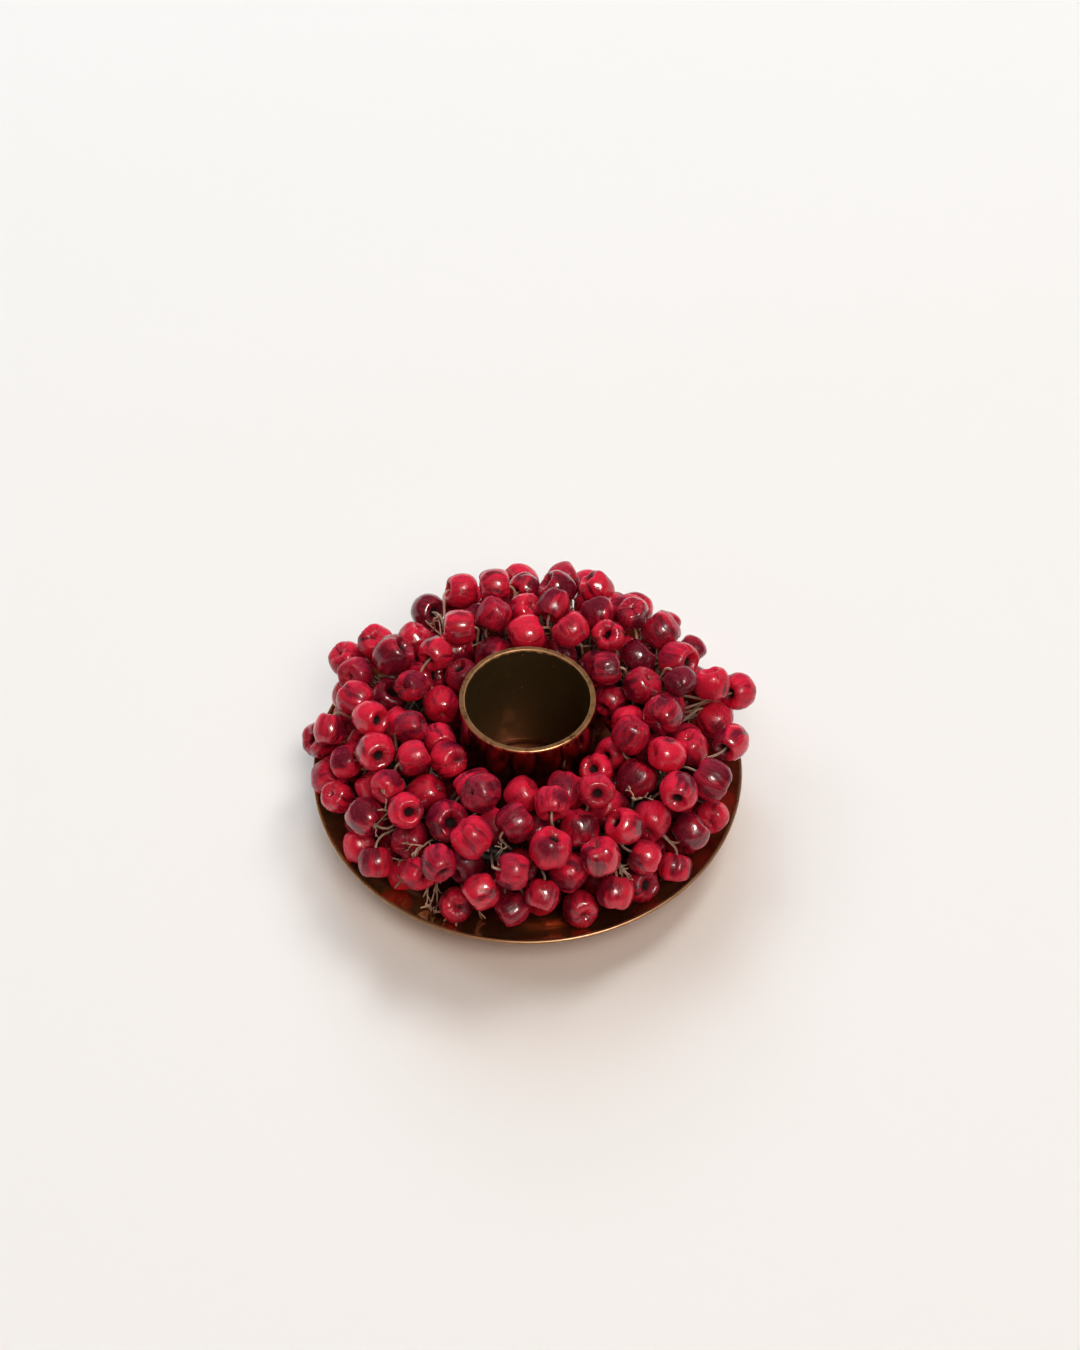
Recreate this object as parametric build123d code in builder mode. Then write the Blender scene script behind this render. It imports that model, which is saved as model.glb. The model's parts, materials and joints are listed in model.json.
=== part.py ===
from build123d import *

import math
import os

import numpy as np

# Candle ring: a spun brass saucer with a candle cup brazed to its middle, and a wreath of dried
# berries that lies loose in the saucer, round the cup. Millimetres, +Z up, front towards -Y.
# The origin is the middle of the saucer's flat foot. Ring angles run from +X towards +Y, and
# tube angles run round the wreath's section, from straight out, over the top, to the inside.

# Saucer
SAUCER_RADIUS = 70.0
SAUCER_HEIGHT = 13.0
SAUCER_WALL = 1.2
FOOT_RADIUS = 36.0
SAUCER_EDGE = 0.4
EDGE_LIMIT = 1 / 3  # largest share of a wall that a rounded edge takes

# Candle cup, a length of tube
CANDLE_BORE = 40.0
CUP_WALL = 1.7
CUP_LENGTH = 47.6
CUP_EDGE = 0.4
BRAZE_LEG = 1.6
BRAZE_HOLLOW = 0.4

# Wreath: the round section over its berries, and where it is fullest
WREATH_TUBE = 18.7
CUP_CLEARANCE = 1.3
REST_GAP = 0.3
FULLNESS = 10.0
FULL_SIDE = 68.0
FULL_POWER = 4
COVERED_OUT = 120.0
COVERED_IN = 85.0

# Hoop, sprigs and the wire that binds them
HOOP_WIRE = 2.2
STEM_DIAMETER = 1.8
STALK_DIAMETER = 0.8
BINDING_WIRE = 0.5
SEAT_GAP = 0.1
SPRIG_ROWS = 3
SPRIGS_ROUND = 8
TURNS_PER_SPRIG = 3
STEM_SHARE = 0.7
SPARE_BRANCHES = 2
ARC_TURN = 1 / 4  # turn of the binding wire that one pair of arcs covers

# Berries: mean radius, spread of the sizes, and how densely they cover the wreath
BERRY_RADIUS = 6.3
BERRY_SPREAD = 0.13
BERRY_COVER = 1.45
UNDER_SHARE = 0.05
UNDER_SINK = 5.0
BERRY_SINK = 1.5
BERRY_GAP = 0.2
BERRY_SEED = 7

# Berry outline, as shares of the berry's radius
BERRY_TALL = (1.0, 1.16)
BELLY = (0.93, 0.4)
LIP = (0.3, 0.74)
EYE_RADIUS = 0.15
EYE_FLOOR = 0.36
PIT_RADIUS = 0.2
PIT_FLOOR = 0.44

# Stalks: rise over the berry's lip, gap in the pit, lean of the berry from its stalk's line
STALK_NECK = (1.1, 3.0)
STALK_GAP = 0.2
STALK_LEAST = 0.15
PIT_GAP = 0.1
NECK_BEND = 0.8
LEAN = (45.0, 115.0)
LEAN_TRIES = 600
WINDING_STEP = 1 / 16
STALK_STEPS = np.linspace(0.1, 1, 15)

# Berries that stand out of the wreath: ring angle, tube angle, reach beyond the section
STRAYS = (
    (14.0, 15.0, 7.0),
    (1.0, 14.0, 5.0),
    (174.0, 8.0, 10.0),
    (158.0, 22.0, 8.0),
)

# Bare spots where the stalks show: ring angle, tube angle, radius of the spot
BARE_SPOTS = (
    (239.0, -20.0, 5.0),
    (216.0, 45.0, 3.5),
    (191.0, 65.0, 3.5),
    (258.0, 52.0, 3.0),
    (300.0, 29.0, 3.5),
    (58.0, 80.0, 2.5),
    (144.0, -8.0, 6.0),
    (151.0, 25.0, 6.0),
)

# Sizes that follow from the others
CUP_RADIUS = CANDLE_BORE / 2 + CUP_WALL
WALL_RUN = SAUCER_RADIUS - FOOT_RADIUS
SWEEP_RADIUS = (WALL_RUN**2 + SAUCER_HEIGHT**2) / (2 * SAUCER_HEIGHT)
BOWL_RADIUS = SWEEP_RADIUS - SAUCER_WALL
HOOP_RADIUS = CUP_RADIUS + CUP_CLEARANCE + WREATH_TUBE
HOOP_OUT = max(HOOP_RADIUS - FOOT_RADIUS, 0)
HOOP_HEIGHT = SWEEP_RADIUS - math.sqrt((BOWL_RADIUS - WREATH_TUBE - REST_GAP) ** 2 - HOOP_OUT**2)
COVERED = COVERED_OUT + COVERED_IN
ROW_STEP = COVERED / SPRIG_ROWS
STEM_OFFSET = max(
    (HOOP_WIRE + STEM_DIAMETER) / 2 + SEAT_GAP,
    (STEM_DIAMETER + SEAT_GAP) / (2 * math.sin(math.radians(ROW_STEP / 2))),
)
BINDING_OFFSET = STEM_OFFSET + STEM_DIAMETER / 2 + SEAT_GAP + BINDING_WIRE / 2
BUNDLE_RADIUS = BINDING_OFFSET + BINDING_WIRE / 2
BINDING_TURNS = SPRIGS_ROUND * TURNS_PER_SPRIG
PITCH = 360 / BINDING_TURNS
ROW_ANGLES = np.array([90 - COVERED_OUT + ROW_STEP * (row + 0.5) for row in range(SPRIG_ROWS)])

# Ratio whose powers spread points evenly over a square, and the settling of the berries
SPREAD_RATIO = 1.32471795724
SETTLE_STEPS = 200
SETTLE_PUSH = 0.35
SETTLE_PULL = 0.25
SPACING = 1.02
LOOSE_SHARE = 0.8
MEAN_FULL = math.comb(FULL_POWER, FULL_POWER // 2) / 2**FULL_POWER
WAY_STEP = 1e-4


def ring_points(turn, tilt, reach):
    """Points at a reach from the hoop's line, by ring angle and tube angle in degrees."""
    turn, tilt, reach = np.broadcast_arrays(np.radians(turn), np.radians(tilt), reach)
    out = HOOP_RADIUS + reach * np.cos(tilt)
    return np.stack((out * np.cos(turn), out * np.sin(turn), HOOP_HEIGHT + reach * np.sin(tilt)), axis=-1)


def ring_angles(points):
    """Ring angle, tube angle and reach from the hoop's line of each point."""
    turn = np.degrees(np.arctan2(points[..., 1], points[..., 0]))
    out = np.hypot(points[..., 0], points[..., 1]) - HOOP_RADIUS
    rise = points[..., 2] - HOOP_HEIGHT
    return turn, np.degrees(np.arctan2(rise, out)), np.hypot(out, rise)


def bowl_room(points):
    """Distance of each point from the saucer's inner face, with the way back towards its middle."""
    round_axis = np.hypot(points[:, 0], points[:, 1])
    out = np.clip(round_axis - FOOT_RADIUS, 0, None)
    down = SWEEP_RADIUS - points[:, 2]
    span = np.hypot(out, down)
    inward = points[:, :2] / round_axis[:, None] * (-out / span)[:, None]
    return BOWL_RADIUS - span, np.column_stack((inward, down / span))


def settle(points, radii, sinks, loose, pull):
    """One step of the berries' settling: apart from each other, to the section, off cup and saucer."""
    away = points[:, None] - points[None]
    apart = np.linalg.norm(away, axis=2) + np.diag(np.full(len(points), np.inf))
    short = np.clip(SPACING * (radii[:, None] + radii[None]) + BERRY_GAP - apart, 0, None)
    moved = points + SETTLE_PUSH * ((short / apart)[:, :, None] * away).sum(axis=1)
    turn, tilt, reach = ring_angles(moved)
    full = FULLNESS * np.cos(np.radians(turn - FULL_SIDE) / 2) ** FULL_POWER
    reach = reach + pull * (WREATH_TUBE + full - radii - sinks - reach)
    reach = np.maximum(reach, BUNDLE_RADIUS + BERRY_GAP + radii)
    from_top = np.clip((tilt + 90) % 360 - 180, -COVERED_OUT, COVERED_IN)
    moved = ring_points(turn, 90 + from_top, reach)
    round_axis = np.hypot(moved[:, 0], moved[:, 1])
    grow = np.maximum((CUP_RADIUS + CUP_CLEARANCE + radii) / round_axis, 1)
    moved[:, :2] *= grow[:, None]
    room, way = bowl_room(moved)
    moved += np.clip(REST_GAP + radii - room, 0, None)[:, None] * way
    return np.where(loose[:, None], moved, points)


def lay_berries(draws):
    """Centres and reaches of the berries, spread over the wreath and settled clear of each other."""
    deep = WREATH_TUBE + MEAN_FULL * FULLNESS - BERRY_RADIUS
    shell = 2 * math.pi * HOOP_RADIUS * math.radians(COVERED) * deep
    outer = round(BERRY_COVER * shell / (math.pi * BERRY_RADIUS**2))
    under = round(UNDER_SHARE * outer)
    count = outer + under
    order = np.arange(count)
    turn = 360 * (order / SPREAD_RATIO % 1)
    tilt = 90 - COVERED_OUT + COVERED * (order / SPREAD_RATIO**2 % 1)
    radii = BERRY_RADIUS * draws.uniform(1 - BERRY_SPREAD, 1 + BERRY_SPREAD, count)
    sinks = draws.uniform(0, BERRY_SINK, count)
    sinks[outer:] += UNDER_SINK
    points = ring_points(turn, tilt, WREATH_TUBE - radii - sinks)

    strays = np.array(STRAYS)
    bare = np.array(BARE_SPOTS)
    stray_points = ring_points(strays[:, 0], strays[:, 1], WREATH_TUBE - BERRY_RADIUS + strays[:, 2])
    bare_points = ring_points(bare[:, 0], bare[:, 1], WREATH_TUBE - BERRY_RADIUS)
    points = np.concatenate((points, stray_points, bare_points))
    radii = np.concatenate((radii, np.full(len(strays), BERRY_RADIUS), bare[:, 2]))
    sinks = np.concatenate((sinks, -strays[:, 2], np.zeros(len(bare))))
    loose = np.arange(len(points)) < count + len(strays)
    for step in range(SETTLE_STEPS):
        pull = SETTLE_PULL if step < LOOSE_SHARE * SETTLE_STEPS else 0
        points = settle(points, radii, sinks, loose, pull)

    points = points[: -len(bare)]
    radii = radii[: -len(bare)]
    apart = np.linalg.norm(points[:, None] - points[None], axis=2)
    apart += np.diag(np.full(len(points), np.inf))
    share = radii[:, None] / (radii[:, None] + radii[None])
    limits = (
        ((apart - BERRY_GAP) * share).min(axis=1),
        np.hypot(points[:, 0], points[:, 1]) - CUP_RADIUS - CUP_CLEARANCE,
        bowl_room(points)[0] - REST_GAP,
        ring_angles(points)[2] - BUNDLE_RADIUS - BERRY_GAP,
    )
    return points, np.minimum.reduce((radii, *limits))


def sprig_numbers(points):
    """Sprig that carries each berry: in the row nearest to it, and the stretch of the hoop below it."""
    turn, tilt, _ = ring_angles(points)
    from_outside = (tilt + 90) % 360 - 180 + COVERED_OUT
    rows = np.clip(from_outside // ROW_STEP, 0, SPRIG_ROWS - 1).astype(int)
    slots = np.floor(turn / PITCH - ROW_ANGLES[rows] / 360).astype(int) % BINDING_TURNS
    return rows * SPRIGS_ROUND + slots // TURNS_PER_SPRIG


def branch_points(sprig, count):
    """Points along a sprig's stem where stalks may branch, in its free stretches between binding turns."""
    row, place = divmod(sprig, SPRIGS_ROUND)
    each = count // TURNS_PER_SPRIG + SPARE_BRANCHES
    within = (np.arange(each) + 0.5) / each - 0.5
    slots = place * TURNS_PER_SPRIG + np.arange(TURNS_PER_SPRIG)[:, None]
    along = (slots + ROW_ANGLES[row] / 360 + 0.5 + STEM_SHARE * within).ravel()
    return ring_points(along * PITCH, ROW_ANGLES[row], STEM_OFFSET)


def outline_reach(tall):
    """How far a berry's outline reaches from its middle, for a berry of unit radius and a given height."""
    bulge = 1 - BELLY[0]
    shoulder = np.array((BELLY[0], BELLY[1] * tall))
    belly_round = (bulge**2 + shoulder[1] ** 2) / (2 * bulge)
    normal = (shoulder - (1 - belly_round, 0)) / belly_round
    drop = shoulder - (LIP[0], LIP[1] * tall)
    lip_round = drop @ drop / (2 * drop @ normal)
    return max(1, np.linalg.norm(shoulder - lip_round * normal) + lip_round)


def unit(vector):
    """Vector of length one."""
    return vector / np.linalg.norm(vector)


def across(way):
    """Two unit vectors square to a way and to each other."""
    helper = np.eye(3)[np.argmin(np.abs(way))]
    first = unit(np.cross(way, helper))
    return first, np.cross(way, first)


def stalk_room(samples, centre, way, radius, top, others, other_reaches, laid):
    """Least room of a stalk's points: over its own berry, beside the other berries and other stalks."""
    rise = (samples - centre) @ way
    spread = np.linalg.norm(samples - centre - rise[:, None] * way, axis=1)
    own = np.maximum(rise - top, spread - radius).min()
    beside = (np.linalg.norm(samples[:, None] - others[None], axis=2) - other_reaches).min()
    between = np.linalg.norm(samples[:, None] - laid[None], axis=2).min() - STALK_DIAMETER / 2
    return min(own, beside, between) - STALK_DIAMETER / 2


def lean_berry(centre, radius, high, others, other_reaches, free, laid, draws):
    """Way of a berry's stalk end and its stalk's three points, clear of the berries and stalks near it."""
    near_first = free[np.argsort(np.linalg.norm(free - centre, axis=1))]
    best_room = -np.inf
    for attempt in range(LEAN_TRIES):
        branch = near_first[attempt * len(near_first) // LEAN_TRIES]
        straight = unit(branch - centre)
        first, second = across(straight)
        lean = math.radians(draws.uniform(*LEAN))
        spin = draws.uniform(0, 2 * math.pi)
        way = math.cos(lean) * straight + math.sin(lean) * (math.cos(spin) * first + math.sin(spin) * second)
        neck = centre + way * (LIP[1] * high + draws.uniform(*STALK_NECK))
        samples = branch + STALK_STEPS[:, None] * (neck - branch)
        room = stalk_room(samples, centre, way, radius, LIP[1] * high, others, other_reaches, laid)
        if room > best_room:
            best_room = room
            best = way, (branch, neck, centre + way * (PIT_FLOOR * high + PIT_GAP)), samples
        if room > STALK_GAP:
            break
    return best_room, *best


def berry(centre, way, radius, high):
    """One dried berry, turned about its axis: a barrel with a stalk pit at one end, an eye at the other."""
    side, _ = across(way)
    belly_end = (BELLY[0] * radius, BELLY[1] * high)
    with BuildPart() as fruit:
        with BuildSketch(Plane(tuple(centre), x_dir=tuple(side), z_dir=tuple(np.cross(side, -way)))):
            with BuildLine():
                belly = ThreePointArc((belly_end[0], -belly_end[1]), (radius, 0), belly_end)
                eye_lip = TangentArc(belly @ 1, (LIP[0] * radius, LIP[1] * high), tangent=belly % 1)
                pit_lip = TangentArc(belly @ 0, (LIP[0] * radius, -LIP[1] * high), tangent=-(belly % 0))
                Polyline(
                    eye_lip @ 1,
                    (EYE_RADIUS * radius, EYE_FLOOR * high),
                    (0, EYE_FLOOR * high),
                    (0, -PIT_FLOOR * high),
                    (PIT_RADIUS * radius, -PIT_FLOOR * high),
                    pit_lip @ 1,
                )
            make_face()
        revolve(axis=Axis(tuple(centre), tuple(way)))
    return fruit.part


def sprig_stalks(sprig, lines):
    """A sprig's woody part: a stem that lies along the hoop, with one thin stalk to each of its berries."""
    row, place = divmod(sprig, SPRIGS_ROUND)
    spare = (1 - STEM_SHARE) / 2
    start = math.radians((place * TURNS_PER_SPRIG + ROW_ANGLES[row] / 360 + spare) * PITCH)
    arc = (TURNS_PER_SPRIG - 2 * spare) * PITCH
    tilt = math.radians(ROW_ANGLES[row])
    stem_plane = Plane(
        (0, 0, 0),
        x_dir=(math.cos(start), math.sin(start), 0),
        z_dir=(math.sin(start), -math.cos(start), 0),
    )
    middle = (HOOP_RADIUS + STEM_OFFSET * math.cos(tilt), HOOP_HEIGHT + STEM_OFFSET * math.sin(tilt))
    with BuildPart() as stalks:
        with BuildSketch(stem_plane):
            with Locations(middle):
                Circle(STEM_DIAMETER / 2)
        revolve(axis=Axis.Z, revolution_arc=arc)
        twigs = []
        for branch, neck, end in lines:
            bend = math.acos(unit(neck - branch) @ unit(end - neck))
            reach = NECK_BEND * np.linalg.norm(end - neck)
            with BuildLine() as path:
                FilletPolyline(tuple(branch), tuple(neck), tuple(end), radius=reach / math.tan(bend / 2))
            with BuildSketch(Plane(path.line @ 0, z_dir=path.line % 0)) as twig:
                Circle(STALK_DIAMETER / 2)
            twigs.append(sweep(sections=twig.sketch, path=path.line, mode=Mode.PRIVATE))
        add(twigs)
    return stalks.part


def winding_point(turns):
    """Point of the binding wire's line after a number of turns round the hoop."""
    return ring_points(turns * PITCH, turns * 360, BINDING_OFFSET)


def winding_way(turns):
    """Way of the binding wire's line there."""
    return unit(winding_point(turns + WAY_STEP) - winding_point(turns - WAY_STEP))


def self_gap(points, near):
    """Least gap of the binding wire to itself, from points along its line, past the nearest few of each."""
    order = np.arange(len(points))
    apart = np.linalg.norm(points[:, None] - points[None], axis=2)
    return apart[np.abs(order[:, None] - order[None]) > near].min() - BINDING_WIRE


def biarc(start, start_way, end, end_way):
    """Point where two arcs meet that leave one point and reach another in given ways, and the way there."""
    span = end - start
    both = start_way + end_way
    bend = 1 - start_way @ end_way
    reach = (math.sqrt((span @ both) ** 2 + 2 * bend * (span @ span)) - span @ both) / (2 * bend)
    first = start + reach * start_way
    second = end - reach * end_way
    return (first + second) / 2, second - first


os.makedirs("parts", exist_ok=True)

# Saucer: flat foot, wall swept up in one arc, rim cut square to the wall
rim_angle = math.degrees(math.asin(WALL_RUN / SWEEP_RADIUS))
with BuildPart() as saucer:
    with BuildSketch(Plane.XZ):
        with BuildLine():
            under = CenterArc((FOOT_RADIUS, SWEEP_RADIUS), SWEEP_RADIUS, -90, rim_angle)
            bowl = CenterArc((FOOT_RADIUS, SWEEP_RADIUS), BOWL_RADIUS, -90, rim_angle)
            Line(under @ 1, bowl @ 1)
            Polyline(under @ 0, (0, 0), (0, SAUCER_WALL), bowl @ 0)
        make_face()
    revolve(axis=Axis.Z)
    fillet(saucer.edges().sort_by(Axis.Z)[-2:], min(SAUCER_EDGE, EDGE_LIMIT * SAUCER_WALL))
saucer.part.label = "saucer"
export_step(saucer.part, "parts/saucer.step")

# Candle cup: a tube that stands on the saucer's floor
with BuildPart() as candle_cup:
    with BuildSketch(Plane.XY.offset(SAUCER_WALL)):
        Circle(CUP_RADIUS)
        Circle(CANDLE_BORE / 2, mode=Mode.SUBTRACT)
    extrude(amount=CUP_LENGTH)
    fillet(candle_cup.edges().group_by(Axis.Z)[-1], min(CUP_EDGE, EDGE_LIMIT * CUP_WALL))
candle_cup.part.label = "candle_cup"
export_step(candle_cup.part, "parts/candle_cup.step")

# Run of braze round the cup's foot, hollow in section
with BuildPart() as braze_fillet:
    with BuildSketch(Plane.XZ):
        with BuildLine():
            toe = (CUP_RADIUS + BRAZE_LEG, SAUCER_WALL)
            top = (CUP_RADIUS, SAUCER_WALL + BRAZE_LEG)
            hollow = BRAZE_HOLLOW * BRAZE_LEG
            ThreePointArc(toe, (CUP_RADIUS + hollow, SAUCER_WALL + hollow), top)
            Polyline(top, (CUP_RADIUS, SAUCER_WALL), toe)
        make_face()
    revolve(axis=Axis.Z)
braze_fillet.part.label = "braze_fillet"
export_step(braze_fillet.part, "parts/braze_fillet.step")

# Hoop of round wire in the middle of the wreath's section
with BuildPart() as wire_hoop:
    with BuildSketch(Plane.XZ):
        with Locations((HOOP_RADIUS, HOOP_HEIGHT)):
            Circle(HOOP_WIRE / 2)
    revolve(axis=Axis.Z)
wire_hoop.part.label = "wire_hoop"
export_step(wire_hoop.part, "parts/wire_hoop.step")

# Binding wire: one unbroken winding along the hoop, over the stems, on two arcs for each quarter turn
quarters = np.arange(0, BINDING_TURNS, ARC_TURN)
winding_points = winding_point(np.arange(0, quarters[-1], WINDING_STEP))
print("least gap of the binding wire to itself", self_gap(winding_points, ARC_TURN / WINDING_STEP).round(2))
with BuildPart() as binding_wire:
    with BuildLine() as winding:
        first_point = winding_point(quarters[0])
        Line(tuple(first_point - BINDING_WIRE * winding_way(quarters[0])), tuple(first_point))
        for before, after in zip(quarters, quarters[1:]):
            start = winding_point(before)
            end = winding_point(after)
            meet, meet_way = biarc(start, winding_way(before), end, winding_way(after))
            TangentArc(tuple(start), tuple(meet), tangent=tuple(winding_way(before)))
            TangentArc(tuple(meet), tuple(end), tangent=tuple(meet_way))
        last_point = winding_point(quarters[-1])
        Line(tuple(last_point), tuple(last_point + BINDING_WIRE * winding_way(quarters[-1])))
    with BuildSketch(Plane(winding.line @ 0, z_dir=winding.line % 0)):
        Circle(BINDING_WIRE / 2)
    sweep()
binding_wire.part.label = "binding_wire"
export_step(binding_wire.part, "parts/binding_wire.step")

# Berries: places and sizes first, then the lean of each and the line of its stalk, sprig by sprig;
# a berry whose stalk finds no room is left out
draws = np.random.default_rng(BERRY_SEED)
centres, reaches = lay_berries(draws)
talls = draws.uniform(*BERRY_TALL, len(centres))
radii = reaches / [outline_reach(tall) for tall in talls]
sprigs = sprig_numbers(centres)
furthest_first = np.argsort(-ring_angles(centres)[2])
laid = winding_points
rooms = []
for number, sprig in enumerate(np.unique(sprigs), start=1):
    members = furthest_first[sprigs[furthest_first] == sprig]
    free = branch_points(sprig, len(members))
    lines = []
    fruits = []
    for index in members:
        others = np.delete(centres, index, axis=0)
        other_reaches = np.delete(reaches, index)
        high = talls[index] * radii[index]
        room, way, line, samples = lean_berry(
            centres[index], radii[index], high, others, other_reaches, free, laid, draws
        )
        if room < STALK_LEAST:
            continue
        rooms.append(room)
        laid = np.concatenate((laid, samples))
        free = free[np.any(free != line[0], axis=1)]
        lines.append(line)
        fruits.append(berry(centres[index], way, radii[index], high))
    stalks = sprig_stalks(sprig, lines)
    stalks.label = f"sprig_{number:02d}_stalks"
    export_step(stalks, f"parts/{stalks.label}.step")
    with BuildPart() as berries:
        add(fruits)
    berries.part.label = f"sprig_{number:02d}_berries"
    export_step(berries.part, f"parts/{berries.part.label}.step")
print(len(rooms), "berries, radii", radii.min().round(2), "to", radii.max().round(2))
print("least room of a stalk", round(min(rooms), 2))
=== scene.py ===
import json
import math

import bmesh
import bpy
import numpy as np
from mathutils import Matrix, Vector


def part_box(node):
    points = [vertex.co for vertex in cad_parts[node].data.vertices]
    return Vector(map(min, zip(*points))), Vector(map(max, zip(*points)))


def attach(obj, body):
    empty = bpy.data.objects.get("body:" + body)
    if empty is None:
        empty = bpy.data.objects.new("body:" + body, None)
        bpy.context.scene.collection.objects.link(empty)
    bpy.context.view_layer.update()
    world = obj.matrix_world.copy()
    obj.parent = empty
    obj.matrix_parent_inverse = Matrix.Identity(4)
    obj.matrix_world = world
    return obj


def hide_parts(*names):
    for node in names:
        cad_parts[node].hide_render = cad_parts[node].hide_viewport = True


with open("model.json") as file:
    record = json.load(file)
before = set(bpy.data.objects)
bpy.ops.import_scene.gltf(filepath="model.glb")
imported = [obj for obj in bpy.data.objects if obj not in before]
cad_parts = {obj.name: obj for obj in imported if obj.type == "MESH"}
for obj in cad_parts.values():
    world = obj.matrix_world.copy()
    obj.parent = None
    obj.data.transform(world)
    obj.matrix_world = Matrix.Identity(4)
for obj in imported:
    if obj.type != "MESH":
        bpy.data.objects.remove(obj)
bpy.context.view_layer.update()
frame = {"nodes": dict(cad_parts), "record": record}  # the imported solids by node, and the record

bl_info = {
    "name": "Candle Ring",
    "version": (1, 0, 0),
    "blender": (4, 5, 0),
    "location": "View3D > Sidebar > Candle Ring",
    "description": "Dresses a brass candle saucer and its wreath of dried red berries",
    "category": "Add Mesh",
}

# Metres, +Z up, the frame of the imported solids. Ring angles run from +X towards +Y, and tube angles
# run round the wreath's section, from straight out, over the top, to the inside.
MM = 0.001
HOLDER = "holder"
WREATH = "berry_ring"

# Places on the frame that the pieces share
saucer_low, saucer_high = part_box("saucer")
cup_low, cup_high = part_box("candle_cup")
hoop_low, hoop_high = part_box("wire_hoop")
winding_low, winding_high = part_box("binding_wire")
SAUCER_RADIUS = saucer_high.x
SAUCER_WALL = cup_low.z - saucer_low.z
saucer_corners = np.array([vertex.co for vertex in frame["nodes"]["saucer"].data.vertices])
on_foot = saucer_corners[:, 2] < saucer_low.z + 0.01 * MM
FOOT_RADIUS = np.hypot(saucer_corners[on_foot, 0], saucer_corners[on_foot, 1]).max()
WALL_RUN = SAUCER_RADIUS - FOOT_RADIUS
WALL_RISE = saucer_high.z - saucer_low.z
SWEEP_RADIUS = (WALL_RUN**2 + WALL_RISE**2) / (2 * WALL_RISE)
BOWL_RADIUS = SWEEP_RADIUS - SAUCER_WALL
CUP_RADIUS = cup_high.x
CANDLE_BORE = next(
    mount["dims"]["r_mm"] * MM
    for mount in frame["record"]["mounts"]
    if mount["name"] == "candle_bore"
)
HOOP_WIRE = (hoop_high.z - hoop_low.z) / 2
HOOP_RADIUS = hoop_high.x - HOOP_WIRE
HOOP_HEIGHT = (hoop_low.z + hoop_high.z) / 2
WINDING_REACH = (winding_high.z - winding_low.z) / 2
SPRIGS = sorted(node[: -len("_berries")] for node in frame["nodes"] if node.endswith("_berries"))


class BrassSettings(bpy.types.PropertyGroup):
    """Finish of the saucer, the cup and the braze between them."""

    dark: bpy.props.FloatVectorProperty(
        name="Dark patina", description="Brown of the dark patina", subtype="COLOR",
        default=(0.4, 0.12, 0.055),
    )
    golden: bpy.props.FloatVectorProperty(
        name="Golden patina", description="Brown where the brass shows through", subtype="COLOR",
        default=(0.5, 0.27, 0.09),
    )
    olive: bpy.props.FloatVectorProperty(
        name="Cup lining", description="Olive brown inside the cup", subtype="COLOR",
        default=(0.075, 0.045, 0.008),
    )
    # Real bare brass; on the cup's rim it is brightened into a painted highlight.
    worn: bpy.props.FloatVectorProperty(
        name="Worn edge", description="Bare brass on the rims", subtype="COLOR",
        default=(0.31, 0.17, 0.08),
    )
    dent: bpy.props.FloatProperty(
        name="Unevenness", description="How far the spun walls waver", subtype="DISTANCE",
        default=0.08 * MM,
    )


class BerrySettings(bpy.types.PropertyGroup):
    """Shape and colours of the dried berries."""

    seed: bpy.props.IntProperty(
        name="Seed", description="Start of the berries' random draws", default=11
    )
    around: bpy.props.IntProperty(
        name="Points around", description="Points round each berry", default=48
    )
    lobes: bpy.props.FloatProperty(
        name="Lobes", description="Height of the five lobes as a share of the radius", default=0.03
    )
    dents: bpy.props.FloatProperty(
        name="Dents", description="Depth of the dents as a share of the radius", default=0.11
    )
    panels: bpy.props.FloatProperty(
        name="Panels", description="How flat the skin lies between its ridges", default=0.3
    )
    pucker: bpy.props.FloatProperty(
        name="Pucker", description="Depth of the folds round the two ends", default=0.035
    )
    open_eyes: bpy.props.FloatProperty(
        name="Open eyes", description="Share of the berries whose eye is a wide hole", default=0.13
    )
    bright: bpy.props.FloatVectorProperty(
        name="Bright red", description="Skin where it is clean", subtype="COLOR",
        default=(0.84, 0.014, 0.05),
    )
    # Dark crimson is the real colour of old skin, and in the creases it is painted shade.
    dark: bpy.props.FloatVectorProperty(
        name="Dark crimson", description="Skin in the creases and on old berries", subtype="COLOR",
        default=(0.14, 0.003, 0.016),
    )
    bloom: bpy.props.FloatVectorProperty(
        name="Bloom", description="Dusty bloom on the skin", subtype="COLOR",
        default=(0.52, 0.035, 0.075),
    )
    # Painted shade: the skin darkens to this red deep in the wreath, by distance from the hoop.
    painted_shade: bpy.props.FloatVectorProperty(
        name="Shaded red", description="Skin deep in the wreath", subtype="COLOR",
        default=(0.08, 0.001, 0.005),
    )
    # Near black inside the eye and the stalk pit: painted shade in these hollows.
    hole: bpy.props.FloatVectorProperty(
        name="Hole", description="Inside of the eye and the stalk pit", subtype="COLOR",
        default=(0.02, 0.004, 0.004),
    )
    plug: bpy.props.FloatVectorProperty(
        name="Plug", description="Dry rest of the flower in some eyes", subtype="COLOR",
        default=(0.3, 0.17, 0.09),
    )


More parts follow.
